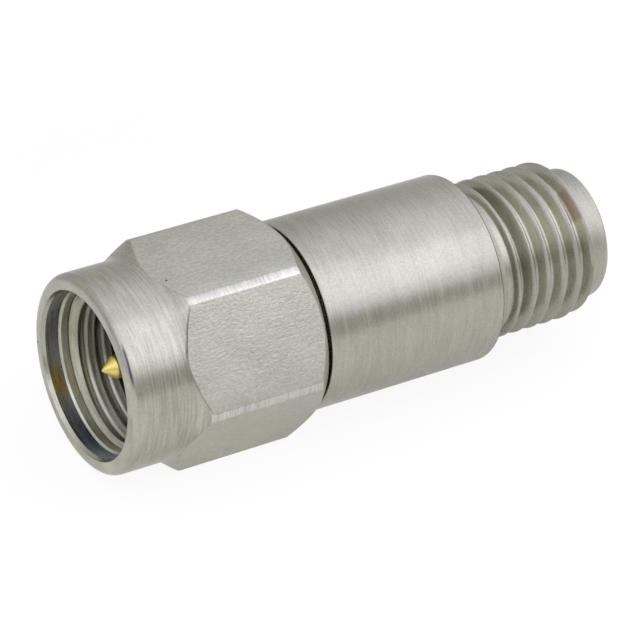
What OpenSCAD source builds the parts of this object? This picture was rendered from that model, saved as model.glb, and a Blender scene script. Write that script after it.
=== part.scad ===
// Fixed coaxial attenuator, plug to jack, with a captive hexagon coupling nut.
// The axis runs along X. The origin is on the axis at the plug's mating plane,
// the jack end points to +X and a flat of the nut faces down.

/* [Thread] */
// Major diameter of the thread on the jack, and of the plain neck behind it
thread_d = 6.32; // [6.2:0.01:6.4]
// Depth of the thread in the nut
thread_depth = 0.34; // [0.28:0.01:0.36]
// Radial clearance of the nut's mouth and of its relief around a jack's thread
thread_clear = 0.09; // [0.05:0.01:0.15]
// Radial clearance of the nut's lead-in around a jack's thread
lead_clear = 0.01; // [0.005:0.005:0.04]
// Slope of a thread's flank against a plane across the axis
flank_angle = 30; // [25:1:35]

/* [Coupling nut] */
// Length of the nut from its front rim to its rear face
nut_len = 8.38; // [7.6:0.02:9.4]
// How far the front rim stands ahead of the plug's mating plane
nut_reach = 2.89; // [2.4:0.01:3.2]
// Distance across the flats
nut_across_flats = 7.94; // [7.6:0.02:8.4]
// Diameter to which the corners of the hexagon are turned down
nut_corner_d = 9; // [8.6:0.05:9.6]
// Diameter of the round skirt ahead of the flats
skirt_d = 7.83; // [7.4:0.01:8.2]
// Length of the skirt up to the cone that leads to the corners
skirt_len = 2.42; // [1.6:0.02:3]
// Radius of the hollow blend between the skirt and the cone
skirt_blend = 0.6; // [0.2:0.05:1]
// Round on the outer edge of the front rim
rim_round = 0.35; // [0.1:0.01:0.4]
// Outer diameter of the flat rear face
nut_rear_d = 7.74; // [7:0.02:8.2]
// Depth of the plain mouth, up to the step where the lead-in begins
mouth_depth = 0.72; // [0.4:0.02:1]
// Depth of the bevel on the inner edge of the front rim
mouth_bevel = 0.16; // [0.06:0.01:0.3]
// Radial width of that bevel
mouth_flare = 0.08; // [0.03:0.01:0.12]
// Length of the plain lead-in between the mouth and the thread
lead_len = 0.4; // [0.2:0.02:0.6]
// Width of the relief between the thread and the bore that runs on the plug
relief_w = 0.6; // [0.3:0.05:0.8]
// Length of the bore that runs on the plug
running_len = 2.89; // [2.6:0.05:3.4]
// How far the nut slides back along the plug
nut_float = 0.16; // [0.08:0.01:0.2]

/* [Snap ring] */
// Width of the snap ring along the axis
ring_w = 0.5; // [0.3:0.05:0.7]
// Distance from the rear of the snap ring to the rear face of the nut
ring_setback = 1.3; // [1:0.05:1.6]
// How far the snap ring reaches into the nut's wall
ring_bite = 0.25; // [0.15:0.01:0.35]
// Opening of the split in the ring
ring_split = 1.2; // [0.6:0.1:2]

/* [Plug] */
// Wall of the mating ferrule
ferrule_wall = 0.23; // [0.15:0.01:0.3]
// Diameter of the collar that the nut turns on
collar_d = 5.54; // [5.3:0.01:5.6]
// Depth of the snap ring's groove in the collar
collar_groove = 0.3; // [0.2:0.01:0.35]
// Diameter of the pin's slim front end
pin_d = 0.914; // [0.9:0.002:0.93]
// Distance from the mating plane to the tip of the pin
pin_len = 2.096; // [1.8:0.002:2.3]
// Length of the pin's cone
pin_cone = 0.65; // [0.3:0.05:0.9]
// Diameter of the flat at the pin's tip
pin_tip_d = 0.16; // [0.05:0.01:0.3]

/* [Barrel] */
// Outer diameter of the barrel
barrel_d = 7.52; // [7:0.02:8.4]
// Length of the barrel
barrel_len = 7.85; // [7:0.05:12]
// Gap between the nut and the barrel
nut_gap = 0.24; // [0.22:0.02:0.5]
// Bevel on the two outer edges of the barrel
barrel_bevel = 0.08; // [0.04:0.01:0.2]
// Width of the jack's shoulder on the end of the barrel
shoulder_w = 0.21; // [0.1:0.01:0.4]

/* [Attenuator element] */
// Depth of each shell's spigot in the barrel
spigot_len = 1.3; // [0.8:0.05:2]
// Width of the ceramic chip
chip_w = 4; // [3:0.1:4.8]
// Thickness of the ceramic chip
chip_t = 0.5; // [0.3:0.05:0.8]
// Width of the channel over the chip
channel_w = 2.4; // [1.4:0.1:2.8]
// Height of the channel over the chip
channel_h = 1.2; // [0.8:0.05:1.6]
// Diameter of the half-round tail of each contact
tail_d = 1; // [0.6:0.02:1.2]
// How far each tail lies on the chip
tail_len = 0.9; // [0.5:0.05:1.5]
// How far the round part of each contact stops short of the chip
tail_step = 0.3; // [0.1:0.05:0.6]

/* [Jack] */
// Length of the plain neck between the barrel and the thread
neck_len = 0.75; // [0.4:0.05:1.5]
// Length of the thread
thread_len = 3.87; // [3.4:0.01:5]
// Length of the cone at the thread's front end
thread_cone = 0.3; // [0.2:0.02:0.5]
// Diameter of the pilot ahead of the thread
pilot_d = 5.27; // [5.1:0.01:5.5]
// Length of the pilot
pilot_len = 0.79; // [0.5:0.01:1.2]
// Bevel on the pilot's outer edge
pilot_bevel = 0.12; // [0.05:0.01:0.2]
// Depth of the counterbore that takes a plug's ferrule
socket_depth = 1.93; // [1.7:0.01:2.2]
// Depth of the bore in the socket contact
contact_depth = 2.8; // [2.4:0.1:3.2]
// Length of the slots in the socket contact
slot_len = 2; // [1.4:0.1:2.3]
// Width of the slots in the socket contact
slot_w = 0.14; // [0.1:0.01:0.16]

/* [Coaxial line] */
// Diameter of both contacts inside the insulators
line_d = 1.27; // [1.2:0.01:1.4]
// Diameter of both insulators
insulator_d = 4.1; // [3.9:0.01:4.2]

/* [Fits] */
// Radial clearance of pieces that are pressed or cemented together
seat_fit = 0.01; // [0.005:0.005:0.02]
// Radial clearance between the nut and the collar
running_fit = 0.03; // [0.02:0.005:0.06]
// Clearance on each face of the snap ring and around it
ring_fit = 0.02; // [0.01:0.005:0.04]
// Radial clearance between a plug's ferrule or pin and the jack that takes it
mating_fit = 0.013; // [0.01:0.001:0.02]

/* [Hidden] */
$fn = 96;
overlap = 1;

// Places along the axis
nut_front = -nut_reach;
nut_rear = nut_front + nut_len;
collar_front = nut_rear - running_len;
barrel_front = nut_rear + nut_gap;
barrel_rear = barrel_front + barrel_len;
element_front = barrel_front + spigot_len;
element_rear = barrel_rear - spigot_len;
thread_front = barrel_rear + neck_len + thread_len;
pilot_rear = thread_front + thread_cone;
jack_face = pilot_rear + pilot_len;
jack_plane = jack_face - socket_depth;

// Places and diameters inside the nut
mouth_end = nut_front + mouth_depth;
lead_end = mouth_end + lead_len;
relief_start = collar_front - relief_w;
ring_end = nut_rear - ring_setback;
ring_start = ring_end - ring_w;
mouth_d = thread_d + 2 * thread_clear;
lead_d = thread_d + 2 * lead_clear;
nut_minor_d = thread_d - 2 * thread_depth;
thread_start = lead_end + (lead_d - nut_minor_d) / 2 * tan(flank_angle);
running_bore = collar_d + 2 * running_fit;
ring_d = running_bore + 2 * ring_bite;
groove_floor_d = collar_d - 2 * collar_groove;
ring_bore = groove_floor_d + 2 * ring_fit;

// Diameters that fit one another
insulator_seat = insulator_d + 2 * seat_fit;
ferrule_d = insulator_seat + 2 * ferrule_wall;
socket_bore = ferrule_d + 2 * mating_fit;
contact_bore = pin_d + 2 * mating_fit;
barrel_bore = thread_d - 2 * shoulder_w;
spigot_d = barrel_bore - 2 * seat_fit;

// Turned outline of the nut
corner_r = nut_corner_d / 2;
skirt_r = skirt_d / 2;
rear_r = nut_rear_d / 2;
cone_start = nut_front + skirt_len;
blend_run = skirt_blend * tan(22.5);

steel = [0.72, 0.72, 0.69];
bronze = [0.62, 0.47, 0.24];
gold = [0.9, 0.7, 0.3];
insulator = [0.95, 0.95, 0.93];
ceramic = [0.9, 0.88, 0.82];
brass = [0.78, 0.66, 0.36];

// Points of an arc in a turned outline, given as radius and place along the axis
function arc(centre, r, from, to, steps = 8) = [
  for (i = [0 : steps])
    let (a = from + (to - from) * i / steps)
      [centre[0] + r * cos(a), centre[1] + r * sin(a)]
];

// Solid turned about the axis from an outline of [radius, place]
module turned(outline) {
  rotate([0, 90, 0])
    rotate_extrude()
      polygon(outline);
}

// Round bar along the axis
module bar(d, from, to) {
  translate([from, 0, 0])
    rotate([0, 90, 0])
      cylinder(d = d, h = to - from);
}

// Upper half of space, or the lower half, over a stretch of the axis
module half_space(from, to, upper) {
  side = 2 * barrel_d;
  translate([from, -side / 2, upper ? 0 : -side])
    cube([to - from, side, side]);
}

// Hexagon bar along the axis with flats at the top and the bottom
module hexagon_bar(from, to) {
  translate([from, 0, 0])
    rotate([0, 90, 0])
      rotate([0, 0, 30])
        cylinder(d = nut_across_flats / cos(30), h = to - from, $fn = 6);
}

// Outside of the nut as it leaves the lathe, before the flats are cut
module nut_blank() {
  turned(concat(
    [[0, nut_front]],
    arc([skirt_r - rim_round, nut_front + rim_round], rim_round, -90, 0),
    arc([skirt_r + skirt_blend, cone_start - blend_run], skirt_blend, 180, 135),
    [
      [corner_r, cone_start + corner_r - skirt_r],
      [corner_r, nut_rear - (corner_r - rear_r)],
      [rear_r, nut_rear],
      [0, nut_rear]
    ]
  ));
}

// Bore of the nut from its mouth to its rear face
module nut_bore() {
  turned([
    [0, nut_front - mouth_bevel],
    [mouth_d / 2 + 2 * mouth_flare, nut_front - mouth_bevel],
    [mouth_d / 2, nut_front + mouth_bevel],
    [mouth_d / 2, mouth_end],
    [lead_d / 2, mouth_end + (mouth_d - lead_d) / 2],
    [lead_d / 2, lead_end],
    [nut_minor_d / 2, thread_start],
    [nut_minor_d / 2, relief_start],
    [mouth_d / 2, relief_start],
    [mouth_d / 2, collar_front],
    [running_bore / 2, collar_front],
    [running_bore / 2, nut_rear + overlap],
    [0, nut_rear + overlap]
  ]);
}

module coupling_nut() {
  color(steel)
    difference() {
      intersection() {
        nut_blank();
        union() {
          bar(skirt_d, nut_front - overlap, cone_start);
          hexagon_bar(cone_start - blend_run, nut_rear + overlap);
        }
      }
      nut_bore();
      bar(ring_d + 2 * ring_fit, ring_start - ring_fit, ring_end + ring_fit);
    }
}

module snap_ring() {
  color(bronze)
    difference() {
      bar(ring_d, ring_start, ring_end);
      bar(ring_bore, ring_start - overlap, ring_end + overlap);
      translate([ring_start - overlap, -ring_split / 2, 0])
        cube([ring_w + 2 * overlap, ring_split, ring_d]);
    }
}

module plug_shell() {
  color(steel)
    difference() {
      union() {
        bar(ferrule_d, 0, collar_front + overlap);
        bar(collar_d, collar_front, barrel_front + overlap);
        bar(spigot_d, barrel_front, element_front);
      }
      bar(insulator_seat, -overlap, element_front + overlap);
      difference() {
        bar(collar_d + overlap, ring_start - ring_fit, ring_end + nut_float + ring_fit);
        bar(groove_floor_d, ring_start - overlap, ring_end + nut_float + overlap);
      }
    }
}

module insulator_bead(from, to) {
  color(insulator)
    difference() {
      bar(insulator_d, from, to);
      bar(line_d + 2 * seat_fit, from - overlap, to + overlap);
    }
}

module plug_insulator() {
  insulator_bead(0, element_front);
}

module jack_insulator() {
  insulator_bead(element_rear, jack_plane);
}

// Half-round tail of a contact, flat side down on the chip
module tail(from, to) {
  intersection() {
    bar(tail_d, from, to);
    half_space(from - overlap, to + overlap, true);
  }
}

module plug_contact() {
  color(gold)
    union() {
      turned([
        [0, -pin_len],
        [pin_tip_d / 2, -pin_len],
        [pin_d / 2, pin_cone - pin_len],
        [pin_d / 2, 0],
        [line_d / 2, 0],
        [line_d / 2, element_front - tail_step],
        [0, element_front - tail_step]
      ]);
      tail(element_front - overlap, element_front + tail_len);
    }
}

module jack_contact() {
  color(gold)
    difference() {
      union() {
        bar(line_d, element_rear + tail_step, jack_plane);
        tail(element_rear - tail_len, element_rear + overlap);
      }
      bar(contact_bore, jack_plane - contact_depth, jack_plane + overlap);
      for (turn = [45, 135])
        rotate([turn, 0, 0])
          translate([jack_plane - slot_len, -line_d, -slot_w / 2])
            cube([slot_len + overlap, 2 * line_d, slot_w]);
    }
}

module barrel() {
  color(steel)
    difference() {
      turned([
        [0, barrel_front],
        [barrel_d / 2 - barrel_bevel, barrel_front],
        [barrel_d / 2, barrel_front + barrel_bevel],
        [barrel_d / 2, barrel_rear - barrel_bevel],
        [barrel_d / 2 - barrel_bevel, barrel_rear],
        [0, barrel_rear]
      ]);
      bar(barrel_bore, barrel_front - overlap, barrel_rear + overlap);
    }
}

// Half of the round block that holds the chip in the barrel
module carrier_half(upper) {
  intersection() {
    bar(spigot_d, element_front, element_rear);
    half_space(element_front - overlap, element_rear + overlap, upper);
  }
}

module carrier_upper() {
  color(brass)
    difference() {
      carrier_half(true);
      translate([element_front - overlap, -channel_w / 2, -overlap])
        cube([element_rear - element_front + 2 * overlap, channel_w, channel_h + overlap]);
    }
}

module carrier_lower() {
  pocket_w = chip_w + 2 * seat_fit;
  color(brass)
    difference() {
      carrier_half(false);
      translate([element_front - overlap, -pocket_w / 2, -chip_t])
        cube([element_rear - element_front + 2 * overlap, pocket_w, chip_t + overlap]);
    }
}

module attenuator_chip() {
  color(ceramic)
    translate([element_front, -chip_w / 2, -chip_t])
      cube([element_rear - element_front, chip_w, chip_t]);
}

module jack_shell() {
  color(steel)
    difference() {
      turned([
        [0, element_rear],
        [spigot_d / 2, element_rear],
        [spigot_d / 2, barrel_rear],
        [thread_d / 2, barrel_rear],
        [thread_d / 2, thread_front],
        [pilot_d / 2, pilot_rear],
        [pilot_d / 2, jack_face - pilot_bevel],
        [pilot_d / 2 - pilot_bevel, jack_face],
        [0, jack_face]
      ]);
      bar(insulator_seat, element_rear - overlap, jack_face);
      bar(socket_bore, jack_plane, jack_face + overlap);
    }
}

coupling_nut();
snap_ring();
plug_shell();
plug_insulator();
plug_contact();
barrel();
carrier_upper();
carrier_lower();
attenuator_chip();
jack_contact();
jack_insulator();
jack_shell();
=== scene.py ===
"""Looks of a fixed coaxial attenuator: turned steel, a hexagon nut, two threads and a gold pin."""

import math

import bpy
from mathutils import Matrix, Vector


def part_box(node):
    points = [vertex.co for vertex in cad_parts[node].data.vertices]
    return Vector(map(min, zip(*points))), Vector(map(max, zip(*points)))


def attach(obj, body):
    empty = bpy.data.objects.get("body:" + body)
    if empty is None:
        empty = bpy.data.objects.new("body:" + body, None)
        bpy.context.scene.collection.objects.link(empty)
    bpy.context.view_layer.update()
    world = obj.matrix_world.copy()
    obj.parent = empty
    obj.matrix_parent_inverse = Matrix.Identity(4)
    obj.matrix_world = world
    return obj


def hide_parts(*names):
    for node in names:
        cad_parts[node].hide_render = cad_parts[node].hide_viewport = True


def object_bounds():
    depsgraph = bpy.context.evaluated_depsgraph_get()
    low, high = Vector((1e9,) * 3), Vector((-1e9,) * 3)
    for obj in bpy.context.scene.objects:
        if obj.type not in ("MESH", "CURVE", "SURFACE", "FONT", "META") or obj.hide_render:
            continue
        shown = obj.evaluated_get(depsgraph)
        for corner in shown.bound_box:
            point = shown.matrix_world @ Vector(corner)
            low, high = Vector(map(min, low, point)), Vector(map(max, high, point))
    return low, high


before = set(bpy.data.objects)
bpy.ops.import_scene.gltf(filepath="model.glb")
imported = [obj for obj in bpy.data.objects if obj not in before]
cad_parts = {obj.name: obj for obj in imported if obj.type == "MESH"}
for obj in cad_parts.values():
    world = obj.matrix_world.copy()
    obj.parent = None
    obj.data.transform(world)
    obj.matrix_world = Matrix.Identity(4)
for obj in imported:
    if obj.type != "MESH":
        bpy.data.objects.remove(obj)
CAD_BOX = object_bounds()

bl_info = {
    "name": "Coaxial Attenuator",
    "version": (1, 0, 0),
    "blender": (4, 5, 0),
    "location": "View3D > Sidebar > Attenuator",
    "description": "Models the visible pieces of an in-line coaxial attenuator around its frame",
    "category": "Object",
}

# Pieces are modelled in millimetres along the X axis and brought to metres when they are finished
MM = 0.001
# Unit for the borders of marks, in metres
HAIR = 0.01 * MM
SEGMENTS = 144
SMOOTH_ANGLE = math.radians(20)
# Lengths by which a cutter stands out of a piece, and by which joined pieces overlap
MARGIN = 1.0
OVERLAP = 0.1
# Smallest distance that a cut through a mesh tells apart
CUT_LIMIT = 1e-6
# Run of a 60 degree thread's flank for each unit of its height
FLANK = math.tan(math.radians(30))
# Turn from one flat of the hexagon to the next
SIXTH = math.pi / 3
# Features in a metre of the clouds and the grain on turned steel
CLOUDS = (420, 420, 420)
GRAIN = (15000, 15000, 15000)

NUT_LOW, NUT_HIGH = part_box("coupling_nut")
BARREL_LOW, BARREL_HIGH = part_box("barrel")
JACK_LOW, JACK_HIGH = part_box("jack_shell")
SHELL_LOW, SHELL_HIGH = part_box("plug_shell")
PIN_LOW, PIN_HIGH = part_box("plug_contact")
SOCKET_LOW, SOCKET_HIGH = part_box("jack_contact")
BEAD_LOW, BEAD_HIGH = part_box("plug_insulator")
JACK_BEAD_LOW, JACK_BEAD_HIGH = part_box("jack_insulator")


def length(name, description, default):
    """A property in metres, with its default in millimetres."""
    return bpy.props.FloatProperty(
        name=name, description=description, default=default * MM, unit="LENGTH", precision=5
    )


def colour(name, description, default):
    return bpy.props.FloatVectorProperty(
        name=name, description=description, default=default, size=3, subtype="COLOR", min=0, max=1
    )


def angle(name, description, default):
    """A property in radians, with its default in degrees."""
    return bpy.props.FloatProperty(
        name=name, description=description, default=math.radians(default), unit="ROTATION"
    )


def number(name, description, default):
    return bpy.props.FloatProperty(name=name, description=description, default=default, min=0)


def span(name, description, low, high, unit="ROTATION"):
    """Two angles in radians or two lengths in metres, with defaults in degrees or millimetres."""
    size = MM if unit == "LENGTH" else math.radians(1)
    return bpy.props.FloatVectorProperty(
        name=name, description=description, default=(low * size, high * size), size=2, unit=unit
    )


def group(kind, name):
    return bpy.props.PointerProperty(type=kind, name=name)


def radians(*angles):
    return tuple(map(math.radians, angles))


class ThreadSizes(bpy.types.PropertyGroup):
    """Screw thread on the jack and in the nut."""

    pitch: length("Pitch", "Advance of the thread in one turn", 25.4 / 36)
    depth: length("Depth", "Height of the thread from root to crest", 0.44)
    crest: length("Crest", "Width of the flat on the crest", 0.07)
    edge: length("Edge", "Break on the edges of the crest", 0.012)
    nut_depth: length("Depth in the nut", "Height of the thread in the nut", 0.3)
    jack_crest: length("Crest on the jack", "Place of a crest on top of the jack", 15.27)
    runout: span("Run-out", "Where the jack's groove begins and is full", 14.15, 14.5, "LENGTH")
    jack_deep: length("Relief", "Place where it is deepest", 15.0)
    jack_extra: number("Relief depth", "Share by which it is deeper there", 0.4)
    nut_crest: length("Crest in the nut", "Place of a crest at the bore's top", -1.38)


class NutSizes(bpy.types.PropertyGroup):
    """Coupling nut."""

    skirt_d: length("Skirt", "Diameter of the round skirt", 7.83)
    skirt_len: length("Skirt length", "Length of the skirt up to the cone", 2.42)
    blend: length("Blend", "Radius between the skirt and the cone", 0.6)
    rim: length("Rim", "Round on the outer edge of the rim", 0.35)
    rear_d: length("Rear face", "Diameter of the flat rear face", 7.74)
    mouth_d: length("Mouth", "Diameter of the plain mouth and of the relief", 6.5)
    mouth_depth: length("Mouth depth", "Depth of the plain mouth", 0.72)
    mouth_bevel: length("Mouth bevel", "Depth of the bevel inside the rim", 0.16)
    mouth_flare: length("Mouth flare", "Radial width of that bevel", 0.08)
    lead_d: length("Lead-in", "Diameter of the plain lead-in behind the mouth", 6.34)
    lead_len: length("Lead-in length", "Length of the plain lead-in", 0.4)
    minor_d: length("Minor diameter", "Minor diameter of the thread", 5.64)
    relief: length("Relief", "Width of the relief behind the thread", 0.6)
    running_len: length("Running length", "Length of the bore on the collar", 2.89)
    running_bore: length("Running bore", "Diameter of the bore on the collar", 5.6)
    ring_d: length("Ring groove", "Diameter of the snap ring's groove", 6.14)
    ring: span("Groove span", "Front and rear of that groove", 3.67, 4.21, "LENGTH")
    edge: length("Edge", "Break on the edges of the flats", 0.04)


class BarrelSizes(bpy.types.PropertyGroup):
    """Barrel."""

    bevel: length("Bevel", "Bevel on the outer edges", 0.08)
    bore: length("Bore", "Diameter of the bore", 5.9)


class JackSizes(bpy.types.PropertyGroup):
    """Shell of the jack."""

    spigot_d: length("Spigot", "Diameter of the spigot in the barrel", 5.88)
    cone_from: length("Cone", "Place where the thread's end cone begins", 18.2)
    cone_len: length("Cone length", "Length of the thread's end cone", 0.3)
    pilot_d: length("Pilot", "Diameter of the pilot", 5.27)
    bevel: length("Bevel", "Bevel on the edges of the pilot", 0.1)
    bore: length("Counterbore", "Diameter of the counterbore", 4.606)
    depth: length("Counterbore depth", "Depth of the counterbore", 1.93)


class PlugSizes(bpy.types.PropertyGroup):
    """Shell, insulators and contacts."""

    ferrule_d: length("Ferrule", "Diameter of the mating ferrule", 4.58)
    ferrule_len: length("Ferrule length", "Length of the ferrule ahead of the collar", 2.6)
    collar_d: length("Collar", "Diameter of the collar", 5.54)
    groove_d: length("Collar groove", "Diameter of the collar groove's floor", 4.94)
    groove: span("Collar groove span", "Front and rear of that groove", 3.67, 4.37, "LENGTH")
    seat_d: length("Insulator seat", "Bore of both shells around the insulators", 4.12)
    line_d: length("Line", "Diameter of both contacts' bodies", 1.27)
    pin_d: length("Pin", "Diameter of the pin", 0.914)
    pin_cone: length("Pin cone", "Length of the cone at the pin's tip", 0.5)
    pin_tip_d: length("Pin tip", "Diameter of the pin's rounded tip", 0.14)
    socket_d: length("Socket", "Bore of the socket contact", 0.94)
    socket_depth: length("Socket depth", "Depth of the socket contact's bore", 2.8)
    slot: length("Slot", "Width of the slots in the socket contact", 0.14)
    slot_len: length("Slot length", "Length of the slots in the socket contact", 2.0)
    tail_d: length("Tail", "Diameter of the half-round tails", 1.0)
    tail_len: length("Tail length", "Length of the tails on the chip", 0.9)
    tail_step: length("Tail step", "Gap between the round part and the chip", 0.3)
    clearance: length("Clearance", "Gap between the contacts and the insulators", 0.01)
    film_len: length("Film", "Length of the film on the chip", 2.6)
    edge: length("Edge", "Break on the small edges", 0.04)


class FinishSettings(bpy.types.PropertyGroup):
    """Colours of the finishes."""

    turned: colour("Turned steel", "Steel as the lathe leaves it", (0.43, 0.42, 0.345))
    bore: colour("Bore", "Steel inside the nut", (0.46, 0.47, 0.44))
    stain: colour("Stain", "Brown stain inside the nut", (0.5, 0.38, 0.12))
    haze: colour("Haze", "Brown film in the jack's last groove", (0.36, 0.3, 0.24))
    worn: colour("Worn steel", "Low light on the nut's corners", (0.56, 0.55, 0.49))
    # Base for the painted light and shade on the nut's lead-in and crests
    dull: colour("Dull steel", "Steel of the nut's lead-in and crests", (0.52, 0.52, 0.395))
    # Painted shade: darkens the thread deeper inside the nut's bore, where little light reaches
    bore_shade: colour("Bore shade", "Dark film between the crests in the nut", (0.21, 0.205, 0.16))
    flat: colour("Flats", "Steel of the hexagon's flats", (0.502, 0.502, 0.421))
    gold: colour("Gold", "Plating of the contacts", (0.83, 0.66, 0.2))
    insulator: colour("Insulator", "White insulator", (0.86, 0.86, 0.83))
    bronze: colour("Bronze", "Spring bronze of the snap ring", (0.52, 0.36, 0.17))
    brass: colour("Brass", "Brass of the carriers", (0.66, 0.5, 0.21))
    ceramic: colour("Ceramic", "Ceramic of the chip", (0.82, 0.79, 0.72))
    film: colour("Film", "Resistive film on the chip", (0.05, 0.045, 0.05))
    # Painted shadow: a dark line where the cone steps up to one flat of the nut
    step_shadow: colour("Step shadow", "Dark line before one flat of the nut", (0.17, 0.17, 0.15))
    # Painted reflection: a dark bluish band along the round of the nut's rim
    rim_reflection: colour("Rim reflection", "Dark scuff along the nut's rim", (0.07, 0.07, 0.11))
    flat_dot: colour("Dot on a flat", "Dark dot on the nut's upper flat", (0.06, 0.06, 0.06))
    rim_dot: colour("Dot on the rim", "Dark dot on the nut's rim", (0.05, 0.05, 0.05))
    # Painted reflection: a bluish tone on the low side of the nut's bore
    low_reflection: colour("Low reflection", "Steel low in the nut's bore", (0.32, 0.37, 0.46))
    # Painted light: lightens the steel low in the nut's bore beside the crests
    bright: colour("Low light", "Steel beside the crests low in the nut", (0.85, 0.84, 0.66))
    # Painted shade: a dark line on the barrel's rear bevel, where it meets the jack
    edge: colour("Edge", "Dark line on the barrel's edge at the jack", (0.15, 0.15, 0.13))


class MarkPlaces(bpy.types.PropertyGroup):
    """Places of the dots, the stain and the haze, and of painted shadow, reflection and light."""

    dot_r: length("Dot", "Radius of a dark dot", 0.06)
    flat_dot: length("Dot on a flat", "Place of the dot across the upper flat", -0.81)
    rim_dot: span("Dot on the rim", "Place across the rim, and height", 3.505, -0.65, "LENGTH")
    # Painted shadow line before one flat: its turns, and where it ends along the axis
    step_shadow: span("Step shadow", "Turns between which the scratch lies", 123, 148)
    step_shadow_rear: length("Scratch rear", "Place along the axis where it ends", 0.5)
    # Painted dark reflection on the rim's round: its turns and its distances from the rim
    rim_reflection: span("Rim reflection", "Turns between which the scuff lies", 131, 152)
    rim_reflection_depth: span("Scuff depth", "Distances of its borders from the rim", 0.09, 0.15, "LENGTH")
    stain: span("Stain", "Turns between which the brown stain lies", -46, -30)
    # Turns over which the painted bluish reflection low in the bore ends
    low_reflection: span("Low reflection", "Turns over which the cold steel ends", -80, -45)
    haze: span("Haze", "Turns between which the jack's haze lies", 106, 133)
    haze_turn: angle("Haze turn", "Turn at which its borders are given", 120)
    haze_place: span("Haze place", "Places of its borders", 17.75, 18.1, "LENGTH")


class StageSettings(bpy.types.PropertyGroup):
    """Camera, floor, softbox and room."""

    azimuth: angle("Azimuth", "Turn of the camera about the vertical", -34.666)
    elevation: angle("Elevation", "Height of the camera above the floor", 34.696)
    roll: angle("Roll", "Roll of the camera", 4.888)
    distance: length("Distance", "Distance of the camera from its target", 151.007)
    target: span("Target", "Camera's aim along and above the axis", 7.574, -0.662, "LENGTH")
    focal: number("Focal length", "Focal length for a sensor 36 mm wide", 220.06)
    floor_size: length("Floor", "Side of the square floor", 3000)
    floor_keep: number("Floor white", "Share that is plain white to the camera", 0.88)
    floor_shine: number("Floor shine", "Share that is plain white in reflections", 0.04)
    floor_glow: number("Floor glow", "The same share close under the piece", 0.2)
    box_radiance: number("Softbox", "Brightness of the softbox", 0.3)
    box_angle: angle("Softbox angle", "Turn of the softbox about the axis", 126)
    box_span: angle("Softbox span", "Angle that the softbox covers", 40)
    box_distance: length("Softbox distance", "Distance of the softbox", 350)
    box_length: length("Softbox length", "Length of the softbox along the axis", 900)
    box_shift: number("Softbox shift", "Share of its length by which it stands off the origin", 0.2)
    room_dark: number("Room", "Brightness of the room behind and at the floor", 0.57)
    room_front: number("Room in front", "Brightness of the room below the tent", 0.52)
    room_bright: number("Tent", "Brightness of the light tent over the front", 1.43)
    tent: span("Tent span", "Turns over which the tent brightens", 0, 120)
    tent_edge: angle("Tent edge", "Turn where the tent ends", 159)
    tent_lean: number("Tent lean", "Turn of the tent's start along the axis", 2.2)
    edge_lean: number("Edge lean", "Turn of the tent's edge along the axis", 0.6)


def settings():
    return bpy.context.scene.attenuator


def mm(value):
    """Metres to the millimetres that pieces are modelled in."""
    return value / MM


# Modelling with operators

def deselect():
    active = bpy.context.view_layer.objects.active
    if active and active.mode != "OBJECT":
        bpy.ops.object.mode_set(mode="OBJECT")
    bpy.ops.object.select_all(action="DESELECT")


def activate(piece):
    deselect()
    piece.select_set(True)
    bpy.context.view_layer.objects.active = piece


def edit(piece, select="SELECT"):
    activate(piece)
    bpy.ops.object.mode_set(mode="EDIT")
    bpy.ops.mesh.select_mode(type="VERT")
    bpy.ops.mesh.select_all(action=select)


def close():
    """Turns all faces of the piece in edit mode outwards and leaves that mode."""
    bpy.ops.mesh.select_all(action="SELECT")
    bpy.ops.mesh.normals_make_consistent(inside=False)
    deselect()


def added(name):
    """Names the object that an operator has just added, and applies its place to its mesh."""
    piece = bpy.context.object
    piece.name = name
    bpy.ops.object.transform_apply(location=True, rotation=True, scale=True)
    return piece


def arc(centre, radius, start, end, steps=6):
    """Stations on an arc, from an angle to another, in degrees from the axis."""
    angles = [math.radians(start + (end - start) * i / steps) for i in range(steps + 1)]
    return [(centre[0] + radius * math.cos(a), centre[1] + radius * math.sin(a)) for a in angles]


def turned(name, stations, tube=False, segments=SEGMENTS):
    """A turned solid: a ring is extruded and resized from one (place, radius) to the next."""
    deselect()
    place, radius = stations[0]
    bpy.ops.mesh.primitive_circle_add(
        vertices=segments, radius=radius, location=(place, 0, 0), rotation=(0, math.pi / 2, 0)
    )
    piece = added(name)
    edit(piece)
    for next_place, next_radius in stations[1:]:
        bpy.ops.mesh.extrude_region_move(
            TRANSFORM_OT_translate={"value": (next_place - place, 0, 0)}
        )
        growth = next_radius / radius
        bpy.ops.transform.resize(value=(1, growth, growth), center_override=(next_place, 0, 0))
        place, radius = next_place, next_radius
    if tube:
        bpy.ops.mesh.select_mode(type="EDGE")
        bpy.ops.mesh.select_all(action="DESELECT")
        bpy.ops.mesh.select_non_manifold(
            use_wire=False, use_multi_face=False, use_non_contiguous=False, use_verts=False
        )
        bpy.ops.mesh.bridge_edge_loops()
    else:
        bpy.ops.mesh.select_all(action="SELECT")
        bpy.ops.mesh.fill_holes(sides=0)
    close()
    return piece


def combine(piece, tool, operation):
    """Cuts, joins or keeps a piece by another, which is used up."""
    activate(piece)
    bpy.ops.object.modifier_add(type="BOOLEAN")
    modifier = piece.modifiers[-1]
    modifier.operation = operation
    modifier.solver = "EXACT"
    modifier.object = tool
    bpy.ops.object.modifier_apply(modifier=modifier.name)
    bpy.data.objects.remove(tool)


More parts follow.
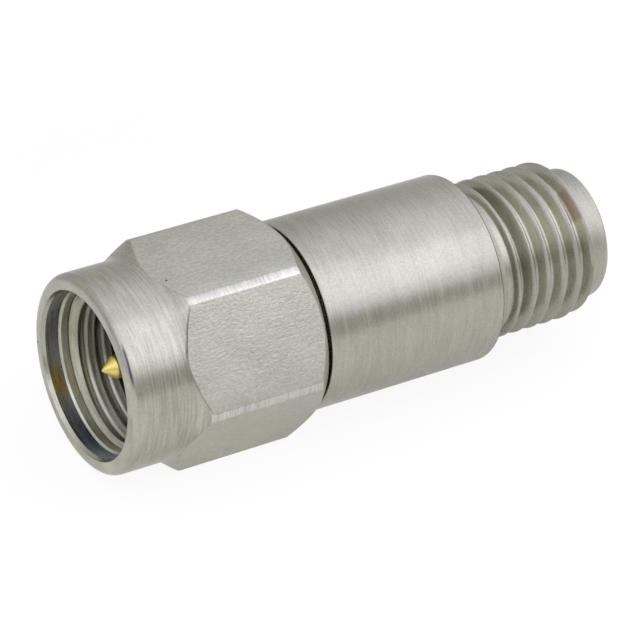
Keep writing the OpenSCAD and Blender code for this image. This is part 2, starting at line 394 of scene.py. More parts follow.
def thread_outline(start, base, depth, inward):
    """One pitch of a 60 degree thread as (place, radius), from a crest to the next.

    Its root is round. For a rod the base is the radius of the crests, and inward, for a tap,
    it is the radius of the crests that the tap leaves in a bore.
    """
    t = settings().thread
    pitch, flat, edge = mm(t.pitch), mm(t.crest), mm(t.edge)
    middle = pitch / 2
    sharp = (middle - flat / 2) / FLANK
    root = sharp - depth
    points = [(0, 0), (flat / 2 - edge, 0)]
    for i in range(4):
        down = edge + (sharp - 1.5 * root - edge) * i / 3
        points.append((flat / 2 + down * FLANK, down))
    for i in range(1, 6):
        a = math.radians(60) * (1 - i / 5)
        points.append((middle - root * math.sin(a), sharp - 2 * root + root * math.cos(a)))
    points += [(pitch - x, down) for x, down in reversed(points[:-1])]
    side = 1 if inward else -1
    return [(start + x, base + side * down) for x, down in points]


def threaded_rod(name, crest_at, turns, base, depth, inward=False):
    """A rod whose surface is one pitch of a thread, turned and advanced by a screw modifier."""
    pitch = mm(settings().thread.pitch)
    outline = thread_outline(crest_at - pitch * (turns // 2), base, depth, inward)
    deselect()
    place, radius = outline[0]
    bpy.ops.mesh.primitive_plane_add(size=1, location=(place, 0, radius))
    piece = added(name)
    edit(piece)
    bpy.ops.mesh.merge(type="CENTER")
    for next_place, next_radius in outline[1:]:
        step = (next_place - place, 0, next_radius - radius)
        bpy.ops.mesh.extrude_vertices_move(TRANSFORM_OT_translate={"value": step})
        place, radius = next_place, next_radius
    bpy.ops.object.mode_set(mode="OBJECT")
    bpy.ops.object.modifier_add(type="SCREW")
    screw = piece.modifiers[-1]
    screw.axis = "X"
    screw.angle = math.tau
    screw.screw_offset = outline[-1][0] - outline[0][0]
    screw.iterations = turns
    screw.steps = SEGMENTS
    screw.render_steps = SEGMENTS
    bpy.ops.object.modifier_apply(modifier=screw.name)
    edit(piece)
    bpy.ops.mesh.remove_doubles(threshold=1e-4)
    deselect()
    return piece


def fade_grooves(piece, crest_at, pitch, crest, fade, full, deep, extra):
    """Lets the grooves run out between two places, and deepens them around a third."""
    for vertex in piece.data.vertices:
        x, y, z = vertex.co
        radius = math.hypot(y, z)
        turn = math.atan2(z, y) / math.tau
        groove = math.floor((x - crest_at) / pitch - turn) + 0.5 + turn
        middle = crest_at + pitch * groove
        share = min(1, max(0, (middle - fade) / (full - fade)))
        share = share * share * (3 - 2 * share)
        bell = math.exp(-((middle - deep) / (pitch / 4)) ** 2)
        lifted = crest - (crest - radius) * share * (1 + extra * bell)
        vertex.co = (x, y * lifted / radius, z * lifted / radius)


def break_edges(piece, wanted, offset):
    """Bevels the edges between the wanted faces and all others."""
    shared = {}
    for face in piece.data.polygons:
        for key in face.edge_keys:
            shared.setdefault(key, []).append(wanted(face))
    edit(piece, "DESELECT")
    bpy.ops.mesh.select_mode(type="EDGE")
    bpy.ops.object.mode_set(mode="OBJECT")
    for edge in piece.data.edges:
        edge.select = sum(shared[edge.key]) == 1
    bpy.ops.object.mode_set(mode="EDIT")
    bpy.ops.mesh.bevel(offset=offset, segments=2, affect="EDGES")
    deselect()


def trim(piece, start, end):
    """Cuts a rod square at both ends and closes it."""
    for place, normal in ((start, -1), (end, 1)):
        edit(piece)
        bpy.ops.mesh.bisect(
            plane_co=(place, 0, 0), plane_no=(normal, 0, 0), clear_outer=True, use_fill=True,
            threshold=CUT_LIMIT,
        )
    close()


def finish(piece, materials, body, slot, *nodes, smooth=SMOOTH_ANGLE):
    """Brings a piece to metres, shades it and hangs it on its body in place of its nodes."""
    edit(piece)
    bpy.ops.transform.resize(value=(MM, MM, MM), center_override=(0, 0, 0))
    bpy.ops.object.mode_set(mode="OBJECT")
    bpy.ops.object.shade_smooth_by_angle(angle=smooth)
    piece.data.materials.clear()
    for material in materials:
        piece.data.materials.append(material)
    deselect()
    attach(piece, body)
    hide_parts(*nodes)


# Materials

class Tone:
    """A socket of a node tree. Arithmetic on it adds Math nodes."""

    def __init__(self, tree, socket=None):
        self.tree = tree
        self.socket = socket

    def node(self, kind, options=None, sockets=None, out=0):
        """Adds a node of a kind with its options, and the values or links of its sockets."""
        node = self.tree.nodes.new("ShaderNode" + kind)
        for key, value in (options or {}).items():
            setattr(node, key, value)
        for key, value in (sockets or {}).items():
            if isinstance(value, Tone):
                self.tree.links.new(value.socket, node.inputs[key])
            else:
                node.inputs[key].default_value = value
        return Tone(self.tree, node.outputs[out])

    def math(self, operation, *values):
        return self.node("Math", {"operation": operation}, dict(enumerate(values)))

    def __add__(self, other):
        return self.math("ADD", self, other)

    def __sub__(self, other):
        return self.math("SUBTRACT", self, other)

    def __rsub__(self, other):
        return self.math("SUBTRACT", other, self)

    def __mul__(self, other):
        return self.math("MULTIPLY", self, other)

    __radd__ = __add__
    __rmul__ = __mul__

    def step(self, low, high):
        """0 below low, 1 above high, smooth between."""
        return self.node(
            "MapRange", {"interpolation_type": "SMOOTHSTEP"},
            {"Value": self, "From Min": low, "From Max": high},
        )

    def mix(self, first, second):
        """The first colour where this is 0, the second where it is 1."""
        rgba = [v if isinstance(v, Tone) else (*v, 1) for v in (first, second)]
        return self.node(
            "Mix", {"data_type": "RGBA"}, {0: self, 6: rgba[0], 7: rgba[1]}, out=2
        )

    def noise(self, per_metre, detail=3.0, roughness=0.55, place=(0, 0, 0)):
        """Noise with its own number of features in a metre along each axis."""
        coordinates = self.node("TexCoord", out="Object")
        stretched = self.node(
            "Mapping", None, {"Vector": coordinates, "Scale": per_metre, "Location": place}
        )
        return self.node(
            "TexNoise", None,
            {"Vector": stretched, "Scale": 1.0, "Detail": detail, "Roughness": roughness},
        )

    def within(self, low, high, soft):
        """1 between two values, with soft borders."""
        return self.step(low - soft, low + soft) - self.step(high - soft, high + soft)

    def spot(self, centre, radius):
        """1 close to a place, 0 beyond a radius."""
        coordinates = self.node("TexCoord", out="Object")
        away = self.node(
            "VectorMath", {"operation": "DISTANCE"}, {0: coordinates, 1: centre}, out="Value"
        )
        return 1 - away.step(radius * 0.6, radius)

    def end(self, kind, shader):
        """Links a shader to the output of its tree."""
        output = self.tree.nodes.new("ShaderNodeOutput" + kind)
        self.tree.links.new(shader.socket, output.inputs["Surface"])

    def axes(self, kind="Object"):
        """The three coordinates of a kind."""
        coordinates = self.node("TexCoord", out=kind)
        return [self.node("SeparateXYZ", None, {0: coordinates}, out=i) for i in range(3)]

    def around(self):
        """Place along the X axis, distance from it and turn about it."""
        x, y, z = self.axes()
        return x, self.math("SQRT", y * y + z * z), self.math("ARCTAN2", z, y)

    def vary(self, tint, dark, light):
        """A tint between a dark and a light shade of itself, as a noise rises."""
        return self.step(0.3, 0.7).mix(shade(tint, dark), shade(tint, light))


def shade(c, factor):
    return tuple(min(1, v * factor) for v in c)


def new_material(name):
    material = bpy.data.materials.new(name)
    material.use_nodes = True
    material.node_tree.nodes.clear()
    return material, Tone(material.node_tree)


def dress(tone, base, roughness, height, relief, metallic=1.0):
    """Ends a material in one shader, with a height as bump. Its unit is a relief in metres."""
    bump = tone.node("Bump", None, {"Height": height, "Strength": 1.0, "Distance": relief})
    tone.end("Material", tone.node("BsdfPrincipled", None, {
        "Base Color": base, "Roughness": roughness, "Metallic": metallic, "Normal": bump,
    }))


def turned_steel(
    name, tint, lines=11000.0, across=700.0, relief=4e-6, rough=0.18, contrast=0.18, grit=0.35,
    marks=None,
):
    """Steel with the fine rings that a lathe leaves round the axis, as lines in a metre.

    grit is the share of fine grain in the colour. marks is a function of the tone that lists
    masks, each with its colour, if any, and its added roughness.
    """
    material, tone = new_material(name)
    fine = tone.noise((lines, across, across), detail=2.0, roughness=0.6)
    rings = tone.noise((lines * 0.28, across, across), detail=2.0, place=(3.1, 0, 0))
    cloud = tone.noise(CLOUDS)
    grain = tone.noise(GRAIN, detail=1.0, place=(0, 7, 1))
    streak = fine * 0.7 + rings * 0.3
    light = streak * (0.8 - grit) + cloud * 0.2 + grain * grit
    shades = 1 - contrast, 1 + contrast
    base = light.vary(tint, *shades)
    roughness = rough + 0.16 * streak
    for mask, mark, dull in marks(tone) if marks else ():
        if mark:
            base = mask.mix(base, light.vary(mark, *shades))
        roughness = roughness + mask * dull
    dress(tone, base, roughness, fine * 0.65 + rings * 0.35, relief)
    return material


def milled_metal(name, tint, relief=2.6e-5, rolled=0.0, marks=None):
    """Milled metal with a pebbled grain drawn along the axis.

    rolled is the depth in metres by which each of six flats falls off at one edge. marks is a
    function of the tone that lists masks, each with its colour.
    """
    material, tone = new_material(name)
    pebbles = tone.noise((6500, 9500, 9500), detail=3.0, roughness=0.65)
    drawn = tone.noise((1200, 12000, 12000), detail=2.0, place=(0, 2, 5))
    cloud = tone.noise((500, 700, 700), detail=2.0)
    grain = pebbles * 0.8 + drawn * 0.2
    base = (grain * 0.75 + cloud * 0.25).vary(tint, 0.86, 1.14)
    for mask, mark in marks(tone) if marks else ():
        base = mask.mix(base, mark)
    turn = tone.around()[2] - (math.pi - SIXTH) / 2
    aside = turn.math("FLOORED_MODULO", turn, SIXTH) - SIXTH / 2
    edge = aside.math("MAXIMUM", aside, 0.0) * (2 / SIXTH)
    fall = edge.math("POWER", edge, 6.0) * (rolled / relief)
    dress(tone, base, 0.36 + 0.12 * cloud, grain - fall, relief)
    return material


def plated(name, tint):
    """Bright plating over turned metal."""
    material, tone = new_material(name)
    rings = tone.noise((14000, 40, 40), detail=2.0)
    cloud = tone.noise((2600, 2600, 2600))
    dress(tone, cloud.vary(tint, 0.9, 1.06), 0.24 + 0.14 * rings, rings, 1.2e-6)
    return material


def white_insulator(name, tint):
    """Waxy white insulator with faint tool rings."""
    material, tone = new_material(name)
    cloud = tone.noise((1800, 1800, 1800), detail=4.0)
    rings = tone.noise((6000, 3000, 3000), detail=2.0)
    dress(tone, cloud.vary(tint, 0.93, 1), 0.42 + 0.15 * cloud, rings, 2e-6, metallic=0.0)
    return material


class ATTENUATOR_OT_coupling_nut(bpy.types.Operator):
    """Model the hexagon coupling nut with its thread"""

    bl_idname = "attenuator.coupling_nut"
    bl_label = "Coupling Nut"

    def execute(self, context):
        s = settings()
        n, t = s.nut, s.thread
        front, rear = mm(NUT_LOW.x), mm(NUT_HIGH.x)
        skirt, corner, back = mm(n.skirt_d) / 2, mm(NUT_HIGH.y), mm(n.rear_d) / 2
        mouth, bore = mm(n.mouth_d) / 2, mm(n.running_bore) / 2
        rim, blend = mm(n.rim), mm(n.blend)
        cone = front + mm(n.skirt_len)
        collar = rear - mm(n.running_len)
        start = cone - blend * math.tan(math.radians(45) / 2)
        pitch, depth, minor = mm(t.pitch), mm(t.nut_depth), mm(n.minor_d) / 2
        under = minor - depth / 4
        lead = mm(n.lead_d) / 2
        step = front + mm(n.mouth_depth)
        lead_end = step + mm(n.lead_len)
        ring_from, ring_to = map(mm, n.ring)
        nut = turned("coupling_nut_piece", [
            (front, mouth + mm(n.mouth_flare)),
            *arc((front + rim, skirt - rim), rim, 180, 90),
            *arc((start, skirt + blend), blend, 270, 315),
            (cone + corner - skirt, corner),
            (rear - corner + back, corner),
            (rear, back),
            (rear, bore),
            (ring_to, bore),
            (ring_to, mm(n.ring_d) / 2),
            (ring_from, mm(n.ring_d) / 2),
            (ring_from, bore),
            (collar, bore),
            (collar, mouth),
            (collar - mm(n.relief), mouth),
            (collar - mm(n.relief), under),
            (lead_end + (lead - under) * FLANK, under),
            (lead_end, lead),
            (step + mouth - lead, lead),
            (step, mouth),
            (front + mm(n.mouth_bevel), mouth),
        ], tube=True)
        deselect()
        bpy.ops.mesh.primitive_cylinder_add(
            vertices=6, radius=mm(NUT_HIGH.z) / math.cos(SIXTH / 2),
            depth=rear - front + 2 * MARGIN,
            location=((front + rear) / 2, 0, 0), rotation=(0, math.pi / 2, 0),
        )
        combine(nut, bpy.context.object, "INTERSECT")
        break_edges(nut, lambda face: self.is_flat(face, mm(NUT_HIGH.z)), mm(n.edge))

        turns = math.ceil((rear - front) / pitch) + 2
        tap = threaded_rod("tap", mm(t.nut_crest), turns, minor, depth, inward=True)
        trim(tap, (step + lead_end) / 2, collar - mm(n.relief) / 2)
        combine(nut, tap, "DIFFERENCE")
        f = s.finish
        steel = turned_steel(
            "nut_turned_steel", shade(f.turned, 1.02), lines=13000.0, across=600.0,
            relief=1e-5, rough=0.16, contrast=0.26, grit=0.22, marks=self.marks,
        )
        flats = milled_metal("nut_flats", f.flat, rolled=6e-5, marks=self.flat_marks)
        inside = turned_steel(
            "nut_bore_steel", f.bore, lines=12000.0,
            relief=3e-6, rough=0.2, contrast=0.36, grit=0.2, marks=self.bore_marks,
        )
        finish(nut, [steel, flats, inside], "nut", "stainless_steel", "coupling_nut")
        # The factors leave room for rounding
        for face in nut.data.polygons:
            deep = face.center.x > NUT_LOW.x + n.mouth_bevel * 0.98
            if self.is_flat(face, NUT_HIGH.z):
                face.material_index = 1
            elif deep and face.center.yz.length < n.mouth_d / 2 * 1.001:
                face.material_index = 2
        return {"FINISHED"}

    def is_flat(self, face, height):
        """Whether a face lies on one of the six flats."""
        level = abs(face.normal.x) < 1e-3
        return level and abs(face.center.dot(face.normal) / height - 1) < 1e-4

    def marks(self, tone):
        """Worn corners, a painted shadow line before one flat, a painted dark reflection along the
        rim, and a dot on it.
        """
        m, f = settings().marks, settings().finish
        x, radius, turn = tone.around()
        front = NUT_LOW.x
        worn = radius.step(NUT_HIGH.y - 8 * HAIR, NUT_HIGH.y - 2 * HAIR)
        # Painted shadow: a dark line along the step before one flat
        aside = turn - (math.pi / 2 + SIXTH)
        height = radius * aside.math("COSINE", aside)
        step_shadow = height.step(NUT_HIGH.z - 4 * HAIR, NUT_HIGH.z - 2 * HAIR)
        step_shadow = step_shadow * (1 - x.step(0, m.step_shadow_rear))
        step_shadow = step_shadow * turn.within(*m.step_shadow, soft=0.12)
        # Painted reflection: a dark band along the rim's round
        rim_reflection = (x - front).within(*m.rim_reflection_depth, soft=3 * HAIR)
        rim_reflection = rim_reflection * turn.within(*m.rim_reflection, soft=0.07)
        dot = tone.spot((front, *m.rim_dot), m.dot_r)
        return [
            (worn, f.worn, 0),
            (step_shadow * 0.8, f.step_shadow, 0),
            (rim_reflection, f.rim_reflection, 0),
            (dot, f.rim_dot, 0.2),
        ]

    def flat_marks(self, tone):
        """A dot on the upper flat."""
        m = settings().marks
        return [(tone.spot((0, m.flat_dot, NUT_HIGH.z), m.dot_r), settings().finish.flat_dot)]

    def bore_marks(self, tone):
        """Painted light and shade in the bore, and a brown stain: a painted bluish reflection low
        down, a lead-in painted lighter and darker towards its rear, crests painted darker, painted
        shade deeper in along the thread with a dark painted line at its start, and painted light
        low beside the crests.
        """
        s = settings()
        n, t, m, f = s.nut, s.thread, s.marks, s.finish
        x, radius, turn = tone.around()
        advanced = x - (turn - math.pi / 2) * (t.pitch / math.tau)
        step, minor = NUT_LOW.x + n.mouth_depth, n.minor_d / 2
        lead, lead_end = step + (n.mouth_d - n.lead_d) / 2, step + n.lead_len
        # Painted reflection: a bluish tone on the bore's low side
        low_reflection = 1 - turn.step(*m.low_reflection)
        brown = tone.noise((900, 900, 900)).step(0.3, 0.5) * (1 - x.step(step - 20 * HAIR, step))
        brown = brown * turn.within(*m.stain, soft=0.15)
        # Painted light and shade on the lead-in and thread: the lead-in lighter and darker towards
        # its rear, a dark line at its end, and darker steel, crests and grooves deeper in
        behind = x.step(step, step + HAIR)
        plain = x.within(lead, lead_end, HAIR)
        shaded = plain * x.step(lead, lead_end)
        line = x.within(lead_end - 5 * HAIR, lead_end + HAIR, HAIR)
        deep = advanced.step(t.nut_crest, t.nut_crest + 4 * HAIR)
        far = x.step(t.nut_crest + t.pitch * 0.7, t.nut_crest + t.pitch * 1.6)
        crest = 1 - radius.step(minor + HAIR, minor + 4 * HAIR)
        # Painted light on the bore's low side, beside the crests
        lit_low_side = behind * (1 - turn.step(m.low_reflection[1], 0))
        return [
            (low_reflection, f.low_reflection, 0),
            (brown, f.stain, 0),
            (behind, shade(f.dull, 0.74), 0),
            (plain, shade(f.dull, 1.6), 0.05),
            (shaded, shade(f.dull, 1.3), 0),
            (line, f.bore_shade, 0),
            (deep, shade(f.bore_shade, 1.3), 0.05),
            (crest, shade(f.dull, 0.5), 0),
            (deep * crest, shade(f.dull, 0.42), 0),
            (deep * far, shade(f.bore_shade, 0.8), 0),
            # Painted light low in the bore
            (lit_low_side * (1 - crest) * 0.35, f.bright, 0),
        ]


class ATTENUATOR_OT_barrel(bpy.types.Operator):
    """Model the round barrel"""

    bl_idname = "attenuator.barrel"
    bl_label = "Barrel"

    def execute(self, context):
        s = settings()
        front, rear = mm(BARREL_LOW.x), mm(BARREL_HIGH.x)
        outer, bore, bevel = mm(BARREL_HIGH.y), mm(s.barrel.bore) / 2, mm(s.barrel.bevel)
        barrel = turned("barrel_piece", [
            (front, bore),
            (front, outer - bevel),
            *arc((front + bevel, outer - bevel), bevel, 180, 90),
            *arc((rear - bevel, outer - bevel), bevel, 90, 0),
            (rear, bore),
        ], tube=True)
        steel = turned_steel("barrel_turned_steel", s.finish.turned, marks=self.marks)
        finish(barrel, [steel], "body", "stainless_steel", "barrel")
        return {"FINISHED"}

    def marks(self, tone):
        """A painted shade line on the edge at the jack."""
        x, radius = tone.around()[:2]
        bevel = settings().barrel.bevel
        # Painted shade along the rear bevel
        line = x.step(BARREL_HIGH.x - bevel, BARREL_HIGH.x - bevel * 0.75)
        line = line * radius.step(BARREL_HIGH.y - bevel * 0.75, BARREL_HIGH.y - bevel * 0.5)
        return [(line, settings().finish.edge, 0)]


class ATTENUATOR_OT_jack(bpy.types.Operator):
    """Model the jack's shell with its thread"""

    bl_idname = "attenuator.jack"
    bl_label = "Jack Shell"

    def execute(self, context):
        s = settings()
        j, t = s.jack, s.thread
        inner_end, shoulder, face = mm(JACK_LOW.x), mm(BARREL_HIGH.x), mm(JACK_HIGH.x)
        crest, pilot, bevel = mm(JACK_HIGH.y), mm(j.pilot_d) / 2, mm(j.bevel)
        pitch, at = mm(t.pitch), mm(t.jack_crest)
        turns = math.ceil((face - shoulder) / pitch) + 4
        jack = threaded_rod("jack_shell_piece", at, turns, crest, mm(t.depth))
        fade_grooves(
            jack, at, pitch, crest,
            *map(mm, t.runout), mm(t.jack_deep), t.jack_extra,
        )
        trim(jack, shoulder, face + MARGIN / 2)

        cone = mm(j.cone_from)
        cone_end = cone + mm(j.cone_len)
        slope = (crest - pilot) / mm(j.cone_len)
        clear = crest + MARGIN / 4
        envelope = turned("envelope", [
            (shoulder - MARGIN, clear),
            (cone - (clear - crest) / slope, clear),
            (cone_end, pilot),
            *arc((face - bevel, pilot - bevel), bevel, 90, 0),
        ])
        combine(jack, envelope, "INTERSECT")
        seated = mm(j.spigot_d) / 2
        spigot = turned("spigot", [(inner_end, seated), (shoulder + MARGIN, seated)])
        combine(jack, spigot, "UNION")
        seat, bore = mm(s.plug.seat_d) / 2, mm(j.bore) / 2
        plane = face - mm(j.depth)
        hollow = turned("hollow", [
            (inner_end - MARGIN, seat),
            (plane, seat),
            (plane, bore),
            (face - bevel, bore),
            (face + MARGIN, bore + bevel + MARGIN),
        ])
        combine(jack, hollow, "DIFFERENCE")
        steel = turned_steel(
            "jack_turned_steel", s.finish.turned, lines=9000.0, marks=self.marks
        )
        finish(jack, [steel], "body", "stainless_steel", "jack_shell", smooth=math.radians(35))
        return {"FINISHED"}

    def marks(self, tone):
        """Rougher ends and crests, painted light in the grooves, painted shade in the run-out, and
        haze in the last groove.
        """
        s = settings()
        j, t, m, f = s.jack, s.thread, s.marks, s.finish
        x, radius, turn = tone.around()
        bore, crest = j.bore / 2, JACK_HIGH.y
        fade, full = t.runout
        cone, cone_end = j.cone_from, j.cone_from + j.cone_len
        top = radius.step(crest - 9 * HAIR, crest - 3 * HAIR)
        groove = radius.step(bore + 5 * HAIR, bore + 10 * HAIR) - top
        groove = groove * x.step(fade + 5 * HAIR, fade + 25 * HAIR)
        groove = groove * (1 - x.step(cone, cone + 10 * HAIR))
        advanced = x - (turn - m.haze_turn) * (t.pitch / math.tau)
        haze = turn.within(*m.haze, soft=0.04) * advanced.within(*m.haze_place, soft=3 * HAIR)
        runout = x.within(full, t.jack_crest - 2 * HAIR, 10 * HAIR)
        plain = x.step(cone_end - 10 * HAIR, cone_end) + 1
        plain = plain - x.step(fade - 5 * HAIR, fade + 15 * HAIR)
        return [
            (plain, None, 0.16),
            (top, None, 0.12),
            # Painted light: the grooves are made lighter against the shade between the crests
            (groove * 0.7, shade(f.turned, 1.08), 0.03),
            # Painted shade: the run-out's grooves are made darker
            (groove * runout * 0.7, shade(f.turned, 0.75), 0),
            (groove * haze, f.haze, 0.1),
        ]


class ATTENUATOR_OT_plug(bpy.types.Operator):
    """Model the plug's shell, both insulators and both contacts"""

    bl_idname = "attenuator.plug"
    bl_label = "Plug and Contacts"

    def execute(self, context):
        s = settings()
        p = s.plug
        edge = mm(p.edge)
        seat, ferrule, collar = mm(p.seat_d) / 2, mm(p.ferrule_d) / 2, mm(p.collar_d) / 2
        start, end, spigot = mm(SHELL_LOW.x), mm(SHELL_HIGH.x), mm(SHELL_HIGH.y)
        step, barrel = mm(p.ferrule_len), mm(BARREL_LOW.x)
        groove_from, groove_to = map(mm, p.groove)
        steel = turned_steel("plug_turned_steel", s.finish.turned, lines=9000.0)
        gold = plated("contact_gold", s.finish.gold)
        white = white_insulator("insulator_white", s.finish.insulator)
        shell = turned("plug_shell_piece", [
            (start, seat),
            *arc((start + edge, ferrule - edge), edge, 180, 90),
            (step, ferrule),
            *arc((step + edge, collar - edge), edge, 180, 90),
            (groove_from, collar),
            (groove_from, mm(p.groove_d) / 2),
            (groove_to, mm(p.groove_d) / 2),
            (groove_to, collar),
            (barrel, collar),
            (barrel, spigot),
            (end, spigot),
            (end, seat),
        ], tube=True)
        finish(shell, [steel], "body", "stainless_steel", "plug_shell")

        line = mm(p.line_d) / 2
        for name, low, high, node in (
            ("plug_insulator_piece", BEAD_LOW, BEAD_HIGH, "plug_insulator"),
            ("jack_insulator_piece", JACK_BEAD_LOW, JACK_BEAD_HIGH, "jack_insulator"),
        ):
            outer, hole = mm(high.y), line + mm(p.clearance)
            bead = turned(name, [
                (mm(low.x), hole),
                *arc((mm(low.x) + edge, outer - edge), edge, 180, 90, 3),
                *arc((mm(high.x) - edge, outer - edge), edge, 90, 0, 3),
                (mm(high.x), hole),
            ], tube=True)
            finish(bead, [white], "body", "white_insulator", node)

        tip, pin = mm(PIN_LOW.x), mm(p.pin_d) / 2
        cone = tip + mm(p.pin_cone)
        point, round_end = mm(p.pin_tip_d) / 2, end - mm(p.tail_step)
        # The factors round the tip and the edge behind the cone
        contact = turned("plug_contact_piece", [
            (tip, point * 0.3),
            (tip + point * 0.35, point * 0.8),
            (tip + point, point * 1.35),
            (cone - edge, pin - edge * 0.62),
            (cone, pin - edge * 0.15),
            (cone + edge, pin),
            (-edge, pin),
            (0, pin),
            (0, line - edge),
            (edge, line),
            (round_end, line),
        ], segments=SEGMENTS // 2)
        combine(contact, self.tail(round_end - OVERLAP, mm(PIN_HIGH.x)), "UNION")
        finish(contact, [gold], "body", "gold_plate", "plug_contact")

        plane, hole = mm(SOCKET_HIGH.x), mm(p.socket_d) / 2
        depth = mm(p.socket_depth)
        round_start = mm(SOCKET_LOW.x) + mm(p.tail_len) + mm(p.tail_step)
        socket = turned("jack_contact_piece", [
            (round_start, line),
            (plane - edge, line),
            (plane, line - edge),
            (plane, hole + edge),
            (plane - edge, hole),
            (plane - depth, hole),
            (plane - depth - hole * 0.6, hole * 0.02),
        ], segments=SEGMENTS // 2)
        combine(socket, self.tail(mm(SOCKET_LOW.x), round_start + OVERLAP), "UNION")
        for turn in (45, 135):
            deselect()
            bpy.ops.mesh.primitive_cube_add(
                size=1, location=(plane, 0, 0), rotation=(math.radians(turn), 0, 0),
                scale=(2 * mm(p.slot_len), 4 * line, mm(p.slot)),
            )
            combine(socket, bpy.context.object, "DIFFERENCE")
        finish(socket, [gold], "body", "gold_plate", "jack_contact")
        return {"FINISHED"}

    def tail(self, start, end):
        """Half-round tail with its flat side on the chip."""
        radius = mm(settings().plug.tail_d) / 2
        rod = turned("tail", [(start, radius), (end, radius)], segments=SEGMENTS // 3)
        edit(rod)
        bpy.ops.mesh.bisect(
            plane_co=(0, 0, 0), plane_no=(0, 0, 1), clear_inner=True, use_fill=True,
            threshold=CUT_LIMIT,
        )
        close()
        return rod


class ATTENUATOR_OT_element(bpy.types.Operator):
    """Give the pieces inside the barrel and the nut their finishes"""

    bl_idname = "attenuator.element"
    bl_label = "Inner Pieces"

    def execute(self, context):
        f = settings().finish
        finishes = {
            "snap_ring": plated("ring_bronze", f.bronze),
            "carrier_upper": milled_metal("carrier_brass_upper", f.brass, relief=3e-6),
            "carrier_lower": milled_metal("carrier_brass_lower", f.brass, relief=3e-6),
            "attenuator_chip": self.chip(f),
        }
        for name, material in finishes.items():
            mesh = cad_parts[name].data
            mesh.materials.clear()
            mesh.materials.append(material)
        return {"FINISHED"}

    def chip(self, f):
        """Ceramic with a dark film down the middle and gold pads at its ends."""
        low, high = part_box("attenuator_chip")
        material, tone = new_material("chip_film")
        x, y, z = tone.axes()
        grain = tone.noise((6000, 6000, 6000), detail=4.0)
        side, end = high.y / 2, settings().plug.film_len / 2
        aside = x - (low.x + high.x) / 2
        along = 1 - aside.math("ABSOLUTE", aside).step(end, end + 5 * HAIR)
        across = 1 - y.math("ABSOLUTE", y).step(side, side * 1.04)
        on_top = z.step(high.z - 2 * HAIR, high.z - HAIR)
        film = along * across * on_top
        pad = (1 - along) * across * on_top
        plate = pad.mix(grain.vary(f.ceramic, 0.92, 1), f.gold)
        roughness = 0.5 - 0.2 * pad + 0.1 * grain
        dress(tone, film.mix(plate, f.film), roughness, grain, 1e-6, metallic=pad)
        return material


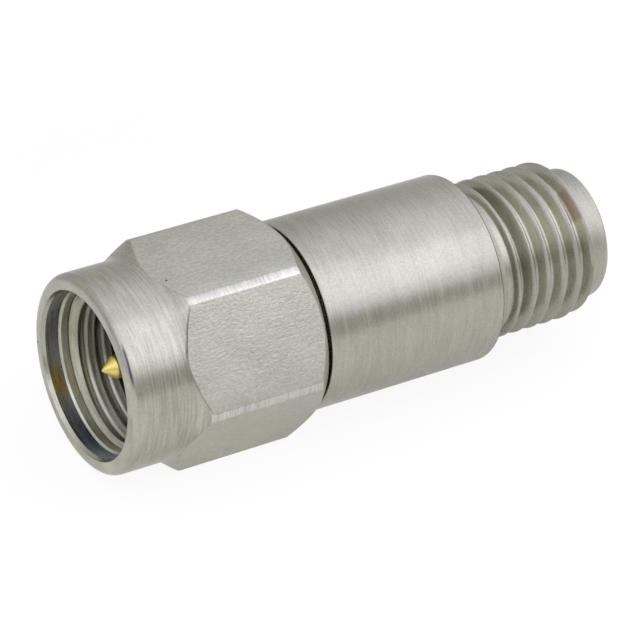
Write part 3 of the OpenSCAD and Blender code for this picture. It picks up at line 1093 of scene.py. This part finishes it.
class ATTENUATOR_OT_stage(bpy.types.Operator):
    """Set up the floor, the softbox, the room and the camera"""

    bl_idname = "attenuator.stage"
    bl_label = "Stage"

    # Spans on the floor: beside the axis, along it behind the nut, and behind the piece
    GLOW_SPAN = 1 * MM, 5 * MM
    NUT_SPAN = 6 * MM, 12 * MM
    REAR_SPAN = 8 * MM, 30 * MM
    SHADOW_RADIUS = 30 * MM
    NUT_SHINE = 1.6
    WHITE = 1.03
    PAPER = (0.77, 0.77, 0.73), (0.8, 0.8, 0.76)
    REAR_PAPER = (0.5, 0.5, 0.48)
    # Spans of the room: as angles round the axis, or as the part of a direction along it
    DIM_SPAN = radians(128, 155)
    FRONT_SPAN = radians(100, 120)
    SEAM_SPAN = radians(98, 102)
    SEAM_END = 0.445, 0.46
    WINDOW_SPAN = 0.3, 0.66
    LEAN_MIDDLE = 0.488
    LEAN_LIMIT = 0.06
    DIM_SHARE = 0.16
    SIDE_SHARE = 0.35
    BLUE = 1.16
    SEAM_COLOUR = (1.9, 1.9, 2.0)

    def execute(self, context):
        st = settings().stage
        self.floor(st)
        self.softbox(st)
        self.room(st)
        self.camera(st)
        context.scene.view_settings.view_transform = "Standard"
        return {"FINISHED"}

    def floor(self, st):
        deselect()
        bpy.ops.mesh.primitive_grid_add(
            x_subdivisions=4, y_subdivisions=4, size=st.floor_size, location=(0, 0, CAD_BOX[0][2])
        )
        floor = added("floor")
        material, tone = new_material("floor_white")
        direct = tone.node("LightPath", out="Is Camera Ray")
        seen = tone.node("LightPath", out="Is Glossy Ray")
        x, y = tone.axes()[:2]
        aside = y.math("ABSOLUTE", y)
        # Painted light: the floor shows more plain white in reflections close beside the axis and
        # under the nut, filling the shade that the piece casts there
        beside = 1 - aside.step(*self.GLOW_SPAN)
        near_nut = 1 - x.step(*self.NUT_SPAN)
        glow = st.floor_glow * (1 + near_nut)
        shine = st.floor_shine * (1 + self.NUT_SHINE * near_nut)
        middle = (CAD_BOX[0][0] + CAD_BOX[1][0]) / 2
        far = 1 - tone.spot((middle, 0, CAD_BOX[0][2]), self.SHADOW_RADIUS)
        behind = y.step(*self.REAR_SPAN)
        paper = tone.noise((40, 40, 40), detail=2.0).step(0.2, 0.8).mix(*self.PAPER)
        lit = tone.node("BsdfDiffuse", None, {"Color": behind.mix(paper, self.REAR_PAPER)})
        white = tone.node("Emission", None, {"Color": (1, 1, 1, 1), "Strength": self.WHITE})
        share = direct * (st.floor_keep + (1 - st.floor_keep) * far)
        share = share + seen * (shine + beside * glow)
        tone.end("Material", tone.node("MixShader", None, {0: share, 1: lit, 2: white}))
        floor.data.materials.append(material)
        deselect()

    def softbox(self, st):
        across = 2 * st.box_distance * math.tan(st.box_span / 2)
        along = Vector((1, 0, 0))
        back = Vector((0, math.cos(st.box_angle), math.sin(st.box_angle)))
        centre = along * st.box_length * st.box_shift + back * st.box_distance
        deselect()
        bpy.ops.object.light_add(type="AREA", location=centre)
        lamp = bpy.context.object
        lamp.name = "softbox"
        lamp.data.shape = "RECTANGLE"
        lamp.data.size = st.box_length
        lamp.data.size_y = across
        # A rectangle's brightness is a quarter of its power for each unit of its area
        lamp.data.energy = 4 * st.box_radiance * st.box_length * across
        lamp.rotation_euler = Matrix((along, back.cross(along), back)).transposed().to_euler()
        deselect()

    def room(self, st):
        world = bpy.data.worlds.new("room")
        bpy.context.scene.world = world
        world.use_nodes = True
        world.node_tree.nodes.clear()
        tone = Tone(world.node_tree)
        x, y, z = tone.axes("Generated")
        lean = x - self.LEAN_MIDDLE
        lean = lean.math("MAXIMUM", lean, -self.LEAN_LIMIT)
        lean = lean.math("MINIMUM", lean, self.LEAN_LIMIT)
        turn = z.math("ARCTAN2", z, y)
        edge = math.radians(3)
        tent = (turn + st.tent_lean * lean).step(*st.tent)
        tent = tent * (1 - self.DIM_SHARE * turn.step(*self.DIM_SPAN))
        sides = turn.step(*self.FRONT_SPAN) * (1 - x.within(*self.WINDOW_SPAN, soft=0.1))
        tent = tent * (1 - self.SIDE_SHARE * sides)
        below = (turn - st.edge_lean * lean).step(st.tent_edge - edge, st.tent_edge + edge)
        bright = (st.room_bright, st.room_bright, st.room_bright * self.BLUE)
        glow = below.mix(tent.mix((st.room_dark,) * 3, bright), (st.room_front,) * 3)
        seam = turn.within(*self.SEAM_SPAN, soft=math.radians(1)) * (1 - x.step(*self.SEAM_END))
        glow = seam.mix(glow, self.SEAM_COLOUR)
        tone.end("World", tone.node("Background", None, {"Color": glow, "Strength": 1.0}))

    def camera(self, st):
        flat = math.cos(st.elevation)
        back = Vector((
            math.sin(st.azimuth) * flat, -math.cos(st.azimuth) * flat, math.sin(st.elevation)
        ))
        right = (-back).cross(Vector((0, 0, 1))).normalized()
        upward = back.cross(right)
        turn, lift = math.cos(st.roll), math.sin(st.roll)
        rolled = turn * right + lift * upward, turn * upward - lift * right
        data = bpy.data.cameras.new("camera")
        data.sensor_width = 36.0
        data.lens = st.focal
        data.clip_start = 1e-3
        camera = bpy.data.objects.new("camera", data)
        bpy.context.scene.collection.objects.link(camera)
        place = Vector((st.target[0], 0, st.target[1])) + back * st.distance
        axes = Matrix((rolled[0], rolled[1], back)).transposed().to_4x4()
        camera.matrix_world = Matrix.Translation(place) @ axes
        bpy.context.scene.camera = camera


class AttenuatorSettings(bpy.types.PropertyGroup):
    """All settings of the attenuator."""

    thread: group(ThreadSizes, "Thread")
    nut: group(NutSizes, "Coupling nut")
    barrel: group(BarrelSizes, "Barrel")
    jack: group(JackSizes, "Jack")
    plug: group(PlugSizes, "Plug")
    finish: group(FinishSettings, "Finish")
    marks: group(MarkPlaces, "Marks")
    stage: group(StageSettings, "Stage")


STEPS = (
    ATTENUATOR_OT_coupling_nut,
    ATTENUATOR_OT_barrel,
    ATTENUATOR_OT_jack,
    ATTENUATOR_OT_plug,
    ATTENUATOR_OT_element,
    ATTENUATOR_OT_stage,
)


class ATTENUATOR_PT_panel(bpy.types.Panel):
    """Buttons for the pieces and the stage"""

    bl_idname = "ATTENUATOR_PT_panel"
    bl_label = "Coaxial Attenuator"
    bl_space_type = "VIEW_3D"
    bl_region_type = "UI"
    bl_category = "Attenuator"

    def draw(self, context):
        for operator in STEPS:
            self.layout.operator(operator.bl_idname)


CLASSES = (
    ThreadSizes, NutSizes, BarrelSizes, JackSizes, PlugSizes, FinishSettings, MarkPlaces,
    StageSettings, AttenuatorSettings, *STEPS, ATTENUATOR_PT_panel,
)


def register():
    for item in CLASSES:
        bpy.utils.register_class(item)
    bpy.types.Scene.attenuator = bpy.props.PointerProperty(type=AttenuatorSettings)


def unregister():
    del bpy.types.Scene.attenuator
    for item in reversed(CLASSES):
        bpy.utils.unregister_class(item)


def main():
    register()
    bpy.ops.attenuator.coupling_nut()
    bpy.ops.attenuator.barrel()
    bpy.ops.attenuator.jack()
    bpy.ops.attenuator.plug()
    bpy.ops.attenuator.element()
    bpy.ops.attenuator.stage()


if __name__ == "__main__":
    main()
